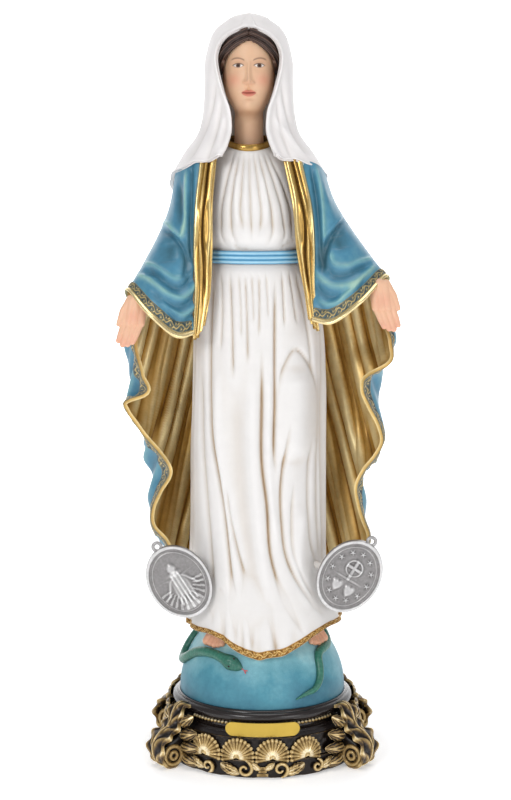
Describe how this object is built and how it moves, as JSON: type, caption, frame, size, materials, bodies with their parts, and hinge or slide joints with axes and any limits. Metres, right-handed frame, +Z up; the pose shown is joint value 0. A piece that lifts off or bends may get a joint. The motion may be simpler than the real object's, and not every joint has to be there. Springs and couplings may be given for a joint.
{
  "type": "madonna statue",
  "caption": "Standing robed figure with open hands, veil and draped mantle, on a globe and a round scroll-footed pedestal; bolted and bonded cast-resin assembly.",
  "frame": {"origin": "centre of the pedestal's underside, on the felt", "axes": "+Z up through the globe; the figure faces -Y; +X is the viewer's right from the front"},
  "size_m": [0.2358, 0.1692, 0.6095],
  "materials": {
    "white_paint": "matte",
    "blue_paint": "satin",
    "gold_paint": "gloss",
    "skin_paint": "satin",
    "hair_paint": "satin",
    "globe_paint": "satin",
    "snake_paint": "satin",
    "tongue_paint": "gloss",
    "dark_lacquer": "gloss",
    "antique_gold": "satin",
    "plate_brass": "satin",
    "medal_silver": "satin",
    "bare_resin": "matte",
    "steel": "satin",
    "felt": "matte"
  },
  "bodies": {
    "root": {"pedestal": "dark_lacquer", "base_cover": "bare_resin", "cover_screws": "steel", "base_felt": "felt", "shell_frieze": "antique_gold", "scroll_apron": "antique_gold", "scroll_foot_front_left": "antique_gold", "scroll_foot_front_right": "antique_gold", "scroll_foot_back_left": "antique_gold", "scroll_foot_back_right": "antique_gold", "rim_ring": "dark_lacquer", "bead_wire": "antique_gold", "name_plate": "plate_brass", "plate_pins": "plate_brass", "globe": "globe_paint", "snake": "snake_paint", "snake_tongue": "tongue_paint", "tie_rod": "steel", "tie_nuts": "steel", "tie_washers": "steel", "figure_plug": "bare_resin", "gown": "white_paint", "hem_trim": "gold_paint", "sash": "blue_paint", "neck_trim": "gold_paint", "head": "skin_paint", "hair": "hair_paint", "veil": "white_paint", "mantle": "blue_paint", "sleeve_left": "blue_paint", "sleeve_right": "blue_paint", "lapel_left": "gold_paint", "lapel_right": "gold_paint", "arm_left": "bare_resin", "arm_right": "bare_resin", "wrist_pin_left": "steel", "wrist_pin_right": "steel", "hand_left": "skin_paint", "hand_right": "skin_paint", "foot_left": "skin_paint", "foot_right": "skin_paint", "medal_left": "medal_silver", "medal_right": "medal_silver", "medal_peg_left": "steel", "medal_peg_right": "steel"}
  },
  "joints": []
}
